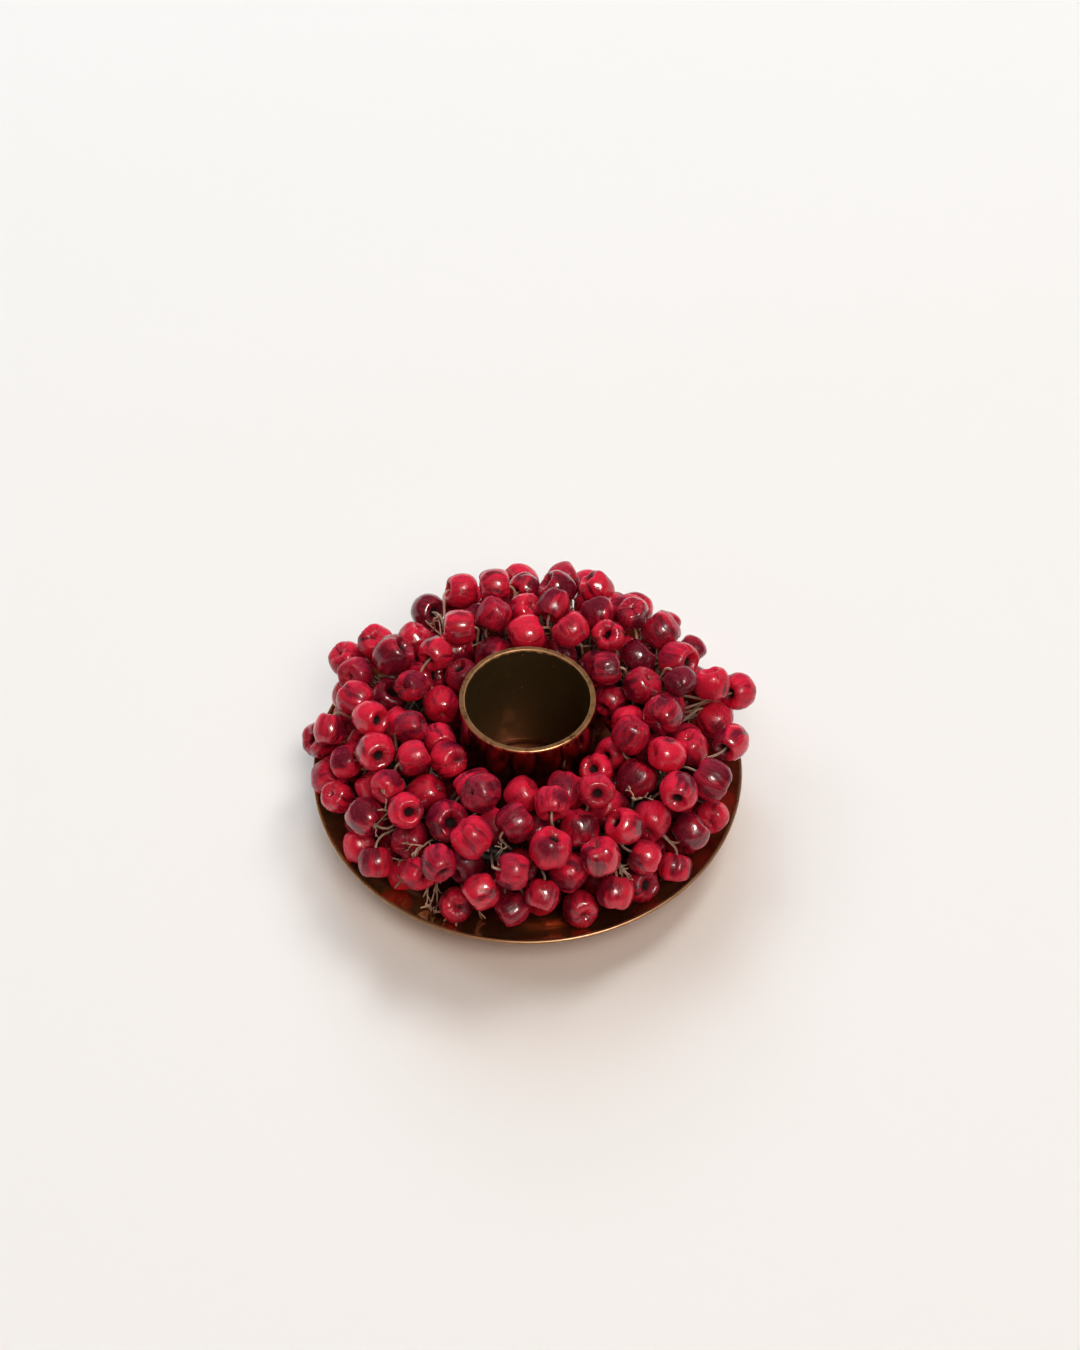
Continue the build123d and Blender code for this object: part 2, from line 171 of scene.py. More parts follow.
class TwigSettings(bpy.types.PropertyGroup):
    """Stalks, stems and the wires that carry them."""

    seed: bpy.props.IntProperty(
        name="Seed", description="Start of the twigs' random draws", default=5
    )
    twig: bpy.props.FloatProperty(
        name="Twig", description="Radius of a bare twig where it sets out", subtype="DISTANCE",
        default=0.42 * MM,
    )
    twigs: bpy.props.IntProperty(
        name="Bare twigs", description="Twigs that show in the gaps", default=30
    )
    tan: bpy.props.FloatVectorProperty(
        name="Tan", description="Bark on the light side", subtype="COLOR",
        default=(0.7, 0.46, 0.33),
    )
    olive: bpy.props.FloatVectorProperty(
        name="Olive grey", description="Bark where it is old", subtype="COLOR",
        default=(0.36, 0.25, 0.17),
    )
    # Painted shade: the bark darkens to this deep wood close to the hoop, deep in the wreath.
    deep: bpy.props.FloatVectorProperty(
        name="Deep wood", description="Bark close to the hoop", subtype="COLOR",
        default=(0.06, 0.035, 0.022),
    )
    turns: bpy.props.IntProperty(name="Turns", description="Turns of the binding wire", default=24)
    wire: bpy.props.FloatProperty(
        name="Binding wire", description="Radius of the binding wire", subtype="DISTANCE",
        default=0.25 * MM,
    )


class StageSettings(bpy.types.PropertyGroup):
    """Floor, light and camera."""

    floor: bpy.props.FloatVectorProperty(
        name="Floor", description="Pale floor", subtype="COLOR", default=(0.95, 0.91, 0.885)
    )
    distance: bpy.props.FloatProperty(
        name="Distance", description="Camera to the middle of the saucer's rim", subtype="DISTANCE",
        default=0.8204,
    )
    elevation: bpy.props.FloatProperty(
        name="Elevation", description="Camera above the horizon", subtype="ANGLE",
        default=math.radians(52.37),
    )
    focal: bpy.props.FloatProperty(
        name="Focal length", description="In pixels of the photo", default=2500.0
    )
    aim: bpy.props.FloatVectorProperty(
        name="Aim", description="Photo pixel of the rim's middle", size=2, default=(527.5, 765.5)
    )
    key: bpy.props.FloatProperty(
        name="Key light", description="Watts of the window light", default=81.0
    )
    fill: bpy.props.FloatProperty(
        name="Fill light", description="Strength of the light from all round", default=0.2
    )


class RingSettings(bpy.types.PropertyGroup):
    """All settings of the candle ring."""

    brass: bpy.props.PointerProperty(type=BrassSettings)
    berry: bpy.props.PointerProperty(type=BerrySettings)
    twig: bpy.props.PointerProperty(type=TwigSettings)
    stage: bpy.props.PointerProperty(type=StageSettings)


# Places and lines


def ring_points(turn, tilt, reach):
    """Points at a reach from the hoop's line, by ring angle and tube angle in degrees."""
    turn, tilt, reach = np.broadcast_arrays(np.radians(turn), np.radians(tilt), reach)
    out = HOOP_RADIUS + reach * np.cos(tilt)
    height = HOOP_HEIGHT + reach * np.sin(tilt)
    return np.stack((out * np.cos(turn), out * np.sin(turn), height), axis=-1)


def unit(vector):
    """Vector of length one."""
    return vector / np.linalg.norm(vector)


def across(way):
    """Two unit vectors square to a way and to each other."""
    helper = np.eye(3)[np.argmin(np.abs(way))]
    first = unit(np.cross(way, helper))
    return first, np.cross(way, first)


def smooth_line(points, steps):
    """Curve through points, with a number of steps on each span."""
    points = np.asarray(points, float)
    before = np.vstack((2 * points[0] - points[1], points[:-1]))
    after = np.vstack((points[1:], 2 * points[-1] - points[-2]))
    ways = (after - before) / 2
    share = (np.arange(steps) / steps)[None, :, None]
    start, end = points[:-1, None], points[1:, None]
    start_way, end_way = ways[:-1, None], ways[1:, None]
    line = (
        (2 * share**3 - 3 * share**2 + 1) * start
        + (share**3 - 2 * share**2 + share) * start_way
        + (3 * share**2 - 2 * share**3) * end
        + (share**3 - share**2) * end_way
    )
    return np.vstack((line.reshape(-1, points.shape[1]), points[-1:]))


# Meshes


class Skin:
    """Points, faces and point values of a mesh that grows piece by piece."""

    def __init__(self):
        self.points = []
        self.faces = []
        self.values = {}
        self.count = 0

    def grow(self, points, faces, **values):
        """Takes in more points, faces between them and a value for each point."""
        self.points.append(points)
        self.faces += [[self.count + corner for corner in face] for face in faces]
        self.count += len(points)
        for name, value in values.items():
            each = value if np.ndim(value) == 2 else np.broadcast_to(value, len(points))
            self.values.setdefault(name, []).append(each)

    def piece(self, name, material, body, slot, replaced=()):
        """Smooth mesh object of all that was taken in, on a body and in place of solids."""
        mesh = bpy.data.meshes.new(name)
        mesh.from_pydata(np.vstack(self.points).tolist(), [], self.faces)
        for title, parts in self.values.items():
            value = np.concatenate(parts)
            kind, field = ("FLOAT_VECTOR", "vector") if value.ndim == 2 else ("FLOAT", "value")
            data = mesh.attributes.new(title, kind, "POINT").data
            data.foreach_set(field, value.astype(np.float32).ravel())
        mesh.shade_smooth()
        mesh.materials.append(material)
        piece = bpy.data.objects.new(name, mesh)
        bpy.context.scene.collection.objects.link(piece)
        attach(piece, body)
        if replaced:
            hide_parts(*replaced)
        return piece


def rows_of_faces(rows, columns, closed):
    """Quads between rows of points that go round, and from the last row to the first if closed."""
    faces = []
    for row in range(rows if closed else rows - 1):
        low = row * columns
        high = (row + 1) % rows * columns
        for column in range(columns):
            beside = (column + 1) % columns
            faces.append((low + column, low + beside, high + beside, high + column))
    return faces


def capped(faces, rows, columns):
    """Rows of faces with a fan at each end, to a last point but one and a last point."""
    first, last = rows * columns, rows * columns + 1
    top = (rows - 1) * columns
    for column in range(columns):
        beside = (column + 1) % columns
        faces.append((first, beside, column))
        faces.append((last, top + column, top + beside))
    return faces


def tube(line, radii, sides=7):
    """Points and faces of a round tube along a line, with closed ends."""
    ways = np.gradient(line, axis=0)
    ways /= np.linalg.norm(ways, axis=1)[:, None]
    first, _ = across(ways[0])
    angles = np.arange(sides)[:, None] * 2 * math.pi / sides
    rings = []
    for point, way, radius in zip(line, ways, np.broadcast_to(radii, len(line))):
        first = unit(first - (first @ way) * way)
        second = np.cross(way, first)
        rings.append(point + radius * (np.cos(angles) * first + np.sin(angles) * second))
    points = np.vstack((*rings, line[:1], line[-1:]))
    return points, capped(rows_of_faces(len(line), sides, False), len(line), sides)


# Shader nodes


def node(tree, kind, inputs=None, **settings):
    """Shader node with its settings, and its inputs set to values or linked to sockets."""
    made = tree.nodes.new(kind)
    for name, value in settings.items():
        setattr(made, name, value)
    for name, value in (inputs or {}).items():
        if isinstance(value, bpy.types.NodeSocket):
            tree.links.new(value, made.inputs[name])
        else:
            made.inputs[name].default_value = value
    return made


def rgba(colour):
    """Colour with full alpha."""
    return (*colour, 1.0)


def toned(colour, share):
    """Colour made darker or lighter, by a share."""
    return [share * part for part in colour]


def mixed(tree, factor, first, second):
    """Colour between two colours, by a factor."""
    inputs = {0: factor, 6: first, 7: second}  # the mix node's sockets for colours
    return node(tree, "ShaderNodeMix", inputs, data_type="RGBA").outputs[2]


def spread(tree, value, low, high, to_low=0.0, to_high=1.0):
    """Value taken from one range to another, smoothly and no further."""
    inputs = {
        "Value": value, "From Min": low, "From Max": high, "To Min": to_low, "To Max": to_high
    }
    made = node(tree, "ShaderNodeMapRange", inputs, interpolation_type="SMOOTHSTEP")
    return made.outputs["Result"]


def math_node(tree, operation, first, second):
    """Sum, product or other result of two values."""
    return node(tree, "ShaderNodeMath", {0: first, 1: second}, operation=operation).outputs[0]


def plus(tree, first, second):
    """Sum of two values."""
    return math_node(tree, "ADD", first, second)


def times(tree, first, second):
    """Product of two values."""
    return math_node(tree, "MULTIPLY", first, second)


def longest_side(tree, first, second):
    """Longest side of a square-cornered triangle, from its two other sides."""
    squares = plus(tree, times(tree, first, first), times(tree, second, second))
    return math_node(tree, "SQRT", squares, 0)


def noise(tree, vector, scale, detail=4.0, rough=0.55):
    """Cloudy value over a surface."""
    inputs = {"Vector": vector, "Scale": scale, "Detail": detail, "Roughness": rough}
    return node(tree, "ShaderNodeTexNoise", inputs).outputs["Fac"]


def attribute(tree, name, output="Fac"):
    """Point value of the mesh."""
    return node(tree, "ShaderNodeAttribute", attribute_name=name).outputs[output]


def object_places(tree):
    """Place on the object, in metres."""
    return node(tree, "ShaderNodeTexCoord").outputs["Object"]


def new_material(name):
    """Material with its tree and its one Principled BSDF."""
    material = bpy.data.materials.get(name)
    if material:
        bpy.data.materials.remove(material)
    material = bpy.data.materials.new(name)
    material.use_nodes = True
    return material, material.node_tree, material.node_tree.nodes["Principled BSDF"]


def new_group(name, inputs, outputs):
    """Empty shader node group, with its named inputs and outputs."""
    tree = bpy.data.node_groups.new(name, "ShaderNodeTree")
    for title, kind, default in inputs:
        tree.interface.new_socket(title, in_out="INPUT", socket_type=kind).default_value = default
    for title, kind in outputs:
        tree.interface.new_socket(title, in_out="OUTPUT", socket_type=kind)
    return tree, tree.nodes.new("NodeGroupInput").outputs, tree.nodes.new("NodeGroupOutput").inputs


def patina_group():
    """Patina of old brass: cloudy browns, pale specks, scratches and worn edges."""
    known = bpy.data.node_groups.get("Brass patina")
    if known:
        return known
    tree, given, out = new_group(
        "Brass patina",
        (
            ("Dark", "NodeSocketColor", (0.08, 0.03, 0.01, 1)),
            ("Golden", "NodeSocketColor", (0.3, 0.15, 0.04, 1)),
            ("Worn", "NodeSocketColor", (0.7, 0.5, 0.3, 1)),
            ("Wear", "NodeSocketFloat", 0.0),
            ("Gold share", "NodeSocketFloat", 0.0),
        ),
        (
            ("Colour", "NodeSocketColor"),
            ("Roughness", "NodeSocketFloat"),
            ("Height", "NodeSocketFloat"),
        ),
    )
    places = object_places(tree)
    clouds = noise(tree, places, 55.0, 6.0, 0.6)
    stains = noise(tree, places, 190.0, 5.0, 0.65)
    both = plus(tree, times(tree, stains, 0.4), clouds)
    gold = spread(tree, plus(tree, both, given["Gold share"]), 0.62, 1.05)
    colour = mixed(tree, gold, given["Dark"], given["Golden"])
    chips = noise(tree, places, 420.0, 4.0, 0.7)
    # Bare brass where the wear is high; on the rims this wear also carries a painted highlight.
    bare = spread(tree, plus(tree, times(tree, chips, 0.9), given["Wear"]), 0.82, 1.12)
    colour = mixed(tree, bare, colour, given["Worn"])
    cells = node(tree, "ShaderNodeTexVoronoi", {"Vector": places, "Scale": 260.0})
    dots = spread(tree, cells.outputs["Distance"], 0.1, 0.04)
    thin = noise(tree, places, 90.0, 2.0)
    speck = times(tree, dots, spread(tree, thin, 0.52, 0.62))
    colour = mixed(tree, times(tree, speck, 0.5), colour, given["Worn"])
    rough = plus(tree, spread(tree, stains, 0.3, 0.75, 0.1, 0.22), times(tree, bare, 0.25))
    height = plus(tree, times(tree, chips, 0.5), bare)
    tree.links.new(colour, out["Colour"])
    tree.links.new(rough, out["Roughness"])
    tree.links.new(height, out["Height"])
    return tree


def reach_group():
    """Distance from the hoop's line, which tells what lies deep in the wreath."""
    known = bpy.data.node_groups.get("Reach from the hoop")
    if known:
        return known
    tree, _, out = new_group("Reach from the hoop", (), (("Reach", "NodeSocketFloat"),))
    x, y, z = node(tree, "ShaderNodeSeparateXYZ", {"Vector": object_places(tree)}).outputs
    aside = math_node(tree, "SUBTRACT", longest_side(tree, x, y), HOOP_RADIUS)
    rise = math_node(tree, "SUBTRACT", z, HOOP_HEIGHT)
    tree.links.new(longest_side(tree, aside, rise), out["Reach"])
    return tree


def brass(name, dark, golden, worn, bump, metal, dull=0.0):
    """Old brass with its own colours, more or less bare and dull."""
    material, tree, shader = new_material(name)
    inputs = {
        "Dark": rgba(dark),
        "Golden": rgba(golden),
        "Worn": rgba(worn),
        "Wear": attribute(tree, "wear"),
        "Gold share": attribute(tree, "gold"),
    }
    patina = node(tree, "ShaderNodeGroup", inputs, node_tree=patina_group()).outputs
    inputs = {"Strength": bump, "Distance": 0.05 * MM, "Height": patina["Height"]}
    relief = node(tree, "ShaderNodeBump", inputs).outputs["Normal"]
    tree.links.new(patina["Colour"], shader.inputs["Base Color"])
    tree.links.new(plus(tree, patina["Roughness"], dull), shader.inputs["Roughness"])
    tree.links.new(relief, shader.inputs["Normal"])
    shader.inputs["Metallic"].default_value = metal
    shader.inputs["Coat Weight"].default_value = 0.3 - 0.7 * dull
    shader.inputs["Coat Roughness"].default_value = 0.12
    return material


RUST = (0.14, 0.055, 0.022)
TYING_METAL = (0.3, 0.27, 0.22)
HOOP_METAL = (0.2, 0.18, 0.16)


def wire_metal(name, colour):
    """Dull wire with rust in places."""
    material, tree, shader = new_material(name)
    rust = spread(tree, noise(tree, object_places(tree), 600.0, 5.0), 0.45, 0.65)
    tree.links.new(mixed(tree, rust, rgba(colour), rgba(RUST)), shader.inputs["Base Color"])
    tree.links.new(spread(tree, rust, 0.0, 1.0, 0.38, 0.7), shader.inputs["Roughness"])
    shader.inputs["Metallic"].default_value = 0.8
    return material


def bark():
    """Dry bark of stalks and stems, tan to olive grey, with a grain along them, and painted shade close to
    the hoop.
    """
    settings = bpy.context.scene.candle_ring.twig
    material, tree, shader = new_material("stalk_bark")
    places = object_places(tree)
    patches = spread(tree, noise(tree, places, 150.0, 5.0), 0.38, 0.62)
    grain = noise(tree, places, 1500.0, 3.0)
    colour = mixed(tree, patches, rgba(settings.olive), rgba(settings.tan))
    colour = mixed(tree, spread(tree, grain, 0.55, 0.75), colour, rgba(settings.olive))
    reach = node(tree, "ShaderNodeGroup", node_tree=reach_group()).outputs["Reach"]
    # Painted shade: the bark darkens towards the deep wood close to the hoop.
    colour = mixed(tree, spread(tree, reach, 5 * MM, 14 * MM), rgba(settings.deep), colour)
    relief = node(tree, "ShaderNodeBump", {"Strength": 0.6, "Distance": 0.1 * MM, "Height": grain})
    tree.links.new(colour, shader.inputs["Base Color"])
    tree.links.new(relief.outputs["Normal"], shader.inputs["Normal"])
    shader.inputs["Roughness"].default_value = 0.7
    return material


def berry_skin():
    """Dried red skin: streaks from end to end, dusty bloom, waxy gloss, painted shade in creases and holes.
    """
    settings = bpy.context.scene.candle_ring.berry
    material, tree, shader = new_material("berry_skin")
    places = object_places(tree)
    dusty = attribute(tree, "dusty")
    hollow = attribute(tree, "hollow")

    inputs = {"Vector": attribute(tree, "place", "Vector"), "Scale": (1.0, 1.0, 0.22)}
    along = node(tree, "ShaderNodeMapping", inputs).outputs["Vector"]
    streaks = noise(tree, along, 3.6, 7.0, 0.65)
    blotches = noise(tree, places, 210.0, 4.0, 0.6)
    freckles = noise(tree, places, 950.0, 3.0, 0.6)
    old = plus(tree, times(tree, streaks, 1.2), times(tree, blotches, 0.45))
    # Painted shade: the skin darkens towards the dark crimson in the creases.
    old = plus(tree, old, times(tree, attribute(tree, "crease"), 0.7))
    old = spread(tree, plus(tree, old, attribute(tree, "age")), 0.67, 1.35)
    colour = mixed(tree, old, rgba(settings.bright), rgba(settings.dark))
    dust = spread(tree, plus(tree, blotches, times(tree, freckles, 0.25)), 0.5, 0.8)
    lines = spread(tree, noise(tree, along, 15.0, 3.0, 0.6), 0.54, 0.7)
    dust = plus(tree, times(tree, dust, dusty), times(tree, lines, 0.32))
    colour = mixed(tree, dust, colour, rgba(settings.bloom))
    # Painted shade: the skin darkens towards the shaded red deep in the wreath, close to the hoop.
    reach = node(tree, "ShaderNodeGroup", node_tree=reach_group()).outputs["Reach"]
    colour = mixed(tree, spread(tree, reach, 8 * MM, 20 * MM), rgba(settings.painted_shade), colour)
    # Painted shade: the eye and the stalk pit are near black inside, save where a plug of real dry flower
    # shows.
    plugged = times(tree, attribute(tree, "plugged"), freckles)
    inside = mixed(tree, plugged, rgba(settings.hole), rgba(settings.plug))
    colour = mixed(tree, hollow, colour, inside)

    rough = spread(tree, plus(tree, dust, times(tree, freckles, 0.5)), 0.15, 0.9, 0.22, 0.45)
    rough = plus(tree, rough, times(tree, hollow, 0.4))
    waxy = math_node(tree, "SUBTRACT", spread(tree, dusty, 0.05, 0.32, 1.0, 0.25), hollow)
    ridges = plus(tree, noise(tree, along, 9.0, 4.0), times(tree, freckles, 0.25))
    relief = node(tree, "ShaderNodeBump", {"Strength": 0.8, "Distance": 0.3 * MM, "Height": ridges})
    tree.links.new(colour, shader.inputs["Base Color"])
    tree.links.new(rough, shader.inputs["Roughness"])
    tree.links.new(relief.outputs["Normal"], shader.inputs["Normal"])
    tree.links.new(math_node(tree, "MAXIMUM", waxy, 0.0), shader.inputs["Coat Weight"])
    shader.inputs["Coat Roughness"].default_value = 0.1
    shader.inputs["Specular IOR Level"].default_value = 0.15
    return material


# Brass pieces

# Points round the saucer and the cup
SAUCER_AROUND = 240
CUP_AROUND = 160


def turned(skin, profile, around, waver, wear, gold, closed):
    """Takes a profile, as radius and height, round the vertical axis, with a slow waver."""
    angles = np.arange(around) * 2 * math.pi / around
    swing = np.sin(2 * angles + 0.7) + 0.6 * np.sin(3 * angles + 2.1) + 0.35 * np.sin(7 * angles)
    radius = profile[:, :1] + waver * swing[None] * (profile[:, :1] > 0)
    sway = 0.5 * waver * np.sin(3 * angles + 1.2)[None]
    height = profile[:, 1:] + sway * (profile[:, :1] / profile[:, 0].max()) ** 4
    points = np.stack((radius * np.cos(angles), radius * np.sin(angles), height), axis=-1)
    points = points.reshape(-1, 3)
    rows = len(profile)
    wear = np.broadcast_to(wear, height.shape).ravel()
    gold = np.broadcast_to(gold, height.shape).ravel()
    if closed:
        skin.grow(points, rows_of_faces(rows, around, True), wear=wear, gold=gold)
        return
    skin.grow(
        np.vstack((points, (0, 0, profile[0, 1]), (0, 0, profile[-1, 1]))),
        capped(rows_of_faces(rows, around, False), rows, around),
        wear=np.append(wear, (wear[0], wear[-1])),
        gold=np.append(gold, (gold[0], gold[-1])),
    )


def arc(middle, radius, start, end, count):
    """Points on an arc, as radius from the axis and height, by angles in degrees."""
    angles = np.radians(np.linspace(start, end, count))
    return np.asarray(middle) + radius * np.column_stack((np.cos(angles), np.sin(angles)))


class RING_OT_saucer(bpy.types.Operator):
    """Spins the brass saucer from the frame's own sizes"""

    bl_idname = "candle_ring.saucer"
    bl_label = "Saucer"

    def execute(self, context):
        settings = context.scene.candle_ring.brass
        middle = (FOOT_RADIUS, saucer_low.z + SWEEP_RADIUS)
        rim_angle = math.degrees(math.asin(WALL_RUN / SWEEP_RADIUS)) - 90
        lip = SAUCER_WALL / 2
        rim = arc(middle, SWEEP_RADIUS - lip, rim_angle, rim_angle, 1)[0]
        floor = np.column_stack((np.linspace(2 * MM, FOOT_RADIUS, 8), np.full(8, saucer_low.z)))
        profile = np.vstack((
            floor,
            arc(middle, SWEEP_RADIUS, -89, rim_angle - 1, 24),
            arc(rim, lip, rim_angle, rim_angle + 180, 9),
            arc(middle, BOWL_RADIUS, rim_angle - 1, -89, 24),
            floor[::-1] + (0, SAUCER_WALL),
        ))
        turn = np.arange(SAUCER_AROUND) * 2 * math.pi / SAUCER_AROUND
        from_rim = np.hypot(profile[:, 0] - rim[0], profile[:, 1] - rim[1])
        near_rim = np.clip(1 - (from_rim - lip) / (0.9 * MM), 0, 1)
        # the rim is worn all round and lighter towards the front right, a painted highlight, and the wall is
        # most golden at the back left
        wear = near_rim[:, None] * (0.48 - 0.2 * np.sin(turn) + 0.1 * np.cos(turn))
        up_wall = np.clip((profile[:, 0] - FOOT_RADIUS) / WALL_RUN, 0, 1) ** 2
        gold = up_wall[:, None] * (0.32 + 0.12 * np.sin(turn) - 0.16 * np.cos(turn)) - 0.06
        skin = Skin()
        turned(skin, profile, SAUCER_AROUND, settings.dent, wear, gold, False)
        finish = brass("aged_brass", settings.dark, settings.golden, settings.worn, 0.25, 0.85)
        skin.piece("saucer_dish", finish, HOLDER, "aged_brass", ["saucer"])
        return {"FINISHED"}


class RING_OT_cup(bpy.types.Operator):
    """Makes the candle cup, a tube with a worn rim brightened by a painted highlight, and dresses the braze
    at its foot
    """

    bl_idname = "candle_ring.cup"
    bl_label = "Candle cup"

    def execute(self, context):
        settings = context.scene.candle_ring.brass
        edge = 0.4 * MM
        top = cup_high.z - edge
        heights = np.linspace(cup_low.z, top, 24)
        profile = np.vstack((
            np.column_stack((np.full(24, CUP_RADIUS), heights)),
            arc((CUP_RADIUS - edge, top), edge, 15, 90, 6),
            arc((CANDLE_BORE + edge, top), edge, 90, 165, 6),
            np.column_stack((np.full(24, CANDLE_BORE), heights[::-1])),
        ))
        from_top = cup_high.z - profile[:, 1]
        wear = np.clip(1 - (from_top - edge) / (0.3 * MM), 0, 1) * 0.62
        gold = np.where(profile[:, 0] < CUP_RADIUS - edge, 0.0, -0.15)
        skin = Skin()
        turned(skin, profile, CUP_AROUND, 0.3 * settings.dent, wear[:, None], gold[:, None], True)
        # The cup's rim is the worn brass at 2.2 times its brightness: real wear with a painted highlight.
        rim = toned(settings.worn, 2.2)
        dark, pale = toned(settings.dark, 0.38), toned(settings.olive, 1.2)
        outside = brass("cup_brass", dark, settings.golden, rim, 0.2, 0.95)
        lining = brass("cup_lining", settings.olive, pale, rim, 0.2, 0.4, 0.38)
        cup = skin.piece("candle_tube", outside, HOLDER, "aged_brass", ["candle_cup"])
        cup.data.materials.append(lining)
        for face in cup.data.polygons:
            middle = face.center
            inner = math.hypot(middle.x, middle.y) < CANDLE_BORE + 0.2 * MM
            face.material_index = 1 if inner else 0
        braze = frame["nodes"]["braze_fillet"]
        braze.data.materials.clear()
        finish = brass("braze_brass", settings.dark, settings.golden, settings.worn, 0.4, 0.8)
        braze.data.materials.append(finish)
        return {"FINISHED"}


# Berries

# Half outline of a berry, from the floor of its stalk pit to the rim of its eye, as shares of its
# radius and half height
BERRY_OUTLINE = (
    (0.10, -0.50),
    (0.19, -0.56),
    (0.30, -0.75),
    (0.43, -0.92),
    (0.60, -1.00),
    (0.81, -0.81),
    (0.95, -0.45),
    (1.00, 0.00),
    (0.95, 0.45),
    (0.81, 0.81),
    (0.60, 0.99),
)
PIT_MOUTH = 0.3
EYE_RIM = 0.88

# Least and greatest width and depth of an eye, as shares of the radius and half height
OPEN_WIDTH, OPEN_DEPTH = (0.15, 0.24), (0.6, 0.75)
SHUT_WIDTH, SHUT_DEPTH = (0.06, 0.12), (0.15, 0.35)
PLUG_RANGE = (-0.8, 2.0)  # how far a shut eye is plugged, where less than nothing is nothing

# Ranges of the draws for a dried skin, as counts, radians and shares of the radius
PANEL_COUNT = (5, 9)
CREASE_COUNT = (5, 14)
CREASE_BEND = (-0.35, 0.35)
CREASE_WIDTH = (0.04, 0.14)
CREASE_DEPTH = (0.018, 0.065)
DENT_COUNT = (1, 4)
DENT_WIDTH = (0.35, 0.75)
LUMP_HEIGHT = 0.008
STAND_OUT = 0.02  # most by which a skin stands out of its solid
LEAN = (-0.12, 0.12)
RAGGED = (0, 0.28)
AGE = (0.09, 0.14)  # mean and spread
DUST = (0.0, 0.4)


def berry_outline(eye, depth):
    """Half outline of a berry whose eye is a funnel of its own width and depth."""
    return smooth_line((
        *BERRY_OUTLINE,
        (eye + 0.2, 0.95),
        (eye + 0.09, EYE_RIM - 0.1 * depth),
        (eye, EYE_RIM - 0.4 * depth),
        (0.7 * eye, EYE_RIM - 0.8 * depth),
        (0.3 * eye, EYE_RIM - depth),
    ), 2)


def split_solids(name):
    """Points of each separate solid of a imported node."""
    work = bmesh.new()
    work.from_mesh(frame["nodes"][name].data)
    bmesh.ops.remove_doubles(work, verts=work.verts, dist=0.002 * MM)
    left = set(work.verts)
    solids = []
    while left:
        reached = [left.pop()]
        group = []
        while reached:
            vertex = reached.pop()
            group.append(tuple(vertex.co))
            for edge in vertex.link_edges:
                other = edge.other_vert(vertex)
                if other in left:
                    left.remove(other)
                    reached.append(other)
        solids.append(np.array(group))
    work.free()
    return sorted(solids, key=lambda points: tuple(points.mean(axis=0)))


def read_berry(points):
    """Middle, way to the eye, radius and half height of a berry's solid, by its two sunk floors."""
    middle = (points.min(axis=0) + points.max(axis=0)) / 2
    reach = np.linalg.norm(points - middle, axis=1)
    floors = points[reach < 0.62 * reach.max()]
    floor_middle = floors.mean(axis=0)
    way = np.linalg.svd(floors - floor_middle)[2][0]
    side = (floors - floor_middle) @ way
    off_axis = np.linalg.norm(floors - floor_middle - side[:, None] * way, axis=1)
    if off_axis[side > 0].max() > off_axis[side < 0].max():
        way = -way
    rise = (points - floor_middle) @ way
    middle = floor_middle + way * (rise.min() + rise.max()) / 2
    from_axis = np.linalg.norm(points - middle - ((points - middle) @ way)[:, None] * way, axis=1)
    return middle, way, from_axis.max(), (rise.max() - rise.min()) / 2


def angle_between(first, second):
    """Difference of two angles, from minus half a turn to half a turn."""
    return (first - second + math.pi) % (2 * math.pi) - math.pi


def shrivelled(draws, angles, rise, settings):
    """Share of the radius by which a dried skin stands out or is sunk, over angles and rise."""
    depth = draws.uniform(0.45, 1.3)
    panel = 2 * math.pi / draws.integers(*PANEL_COUNT)
    within = (angles + draws.uniform(0, panel)) % panel - panel / 2
    flat = math.cos(panel / 2) / np.cos(within) - 1
    panels = draws.uniform(0, settings.panels) * flat * (1 - 0.4 * rise**2)
    lobes = settings.lobes * draws.uniform(0.2, 1.3) * np.cos(5 * angles + draws.uniform(0, 6))
    lobes = lobes * (0.5 + rise**2)
    oval = draws.uniform(0, 0.05) * np.cos(2 * angles + draws.uniform(0, 6))
    creases = np.zeros(np.broadcast_shapes(angles.shape, rise.shape))
    for _ in range(draws.integers(*CREASE_COUNT)):
        place = draws.uniform(0, 2 * math.pi)
        bend = draws.uniform(*CREASE_BEND)
        width = draws.uniform(*CREASE_WIDTH)
        sunk = depth * draws.uniform(*CREASE_DEPTH)
        off = angle_between(angles, place + bend * rise + 0.12 * np.sin(4 * rise + place))
        ends = np.clip(1.1 - (rise - bend) ** 2, 0, 1)
        creases = creases - sunk * np.exp(-((off / width) ** 2)) * ends
    for _ in range(draws.integers(*DENT_COUNT)):
        place = draws.uniform(0, 2 * math.pi)
        height = draws.uniform(-0.8, 0.8)
        width = draws.uniform(*DENT_WIDTH)
        far = (angle_between(angles, place) / width) ** 2 + ((rise - height) / width) ** 2
        creases = creases - settings.dents * depth * draws.uniform(0.15, 1.0) * np.exp(-far)
    lumps = 0.0
    for _ in range(5):
        waves = draws.integers(1, 6) * angles + draws.uniform(-5, 5) * rise + draws.uniform(0, 6)
        lumps = lumps + LUMP_HEIGHT * np.sin(waves)
    return panels + lobes + oval + lumps, creases


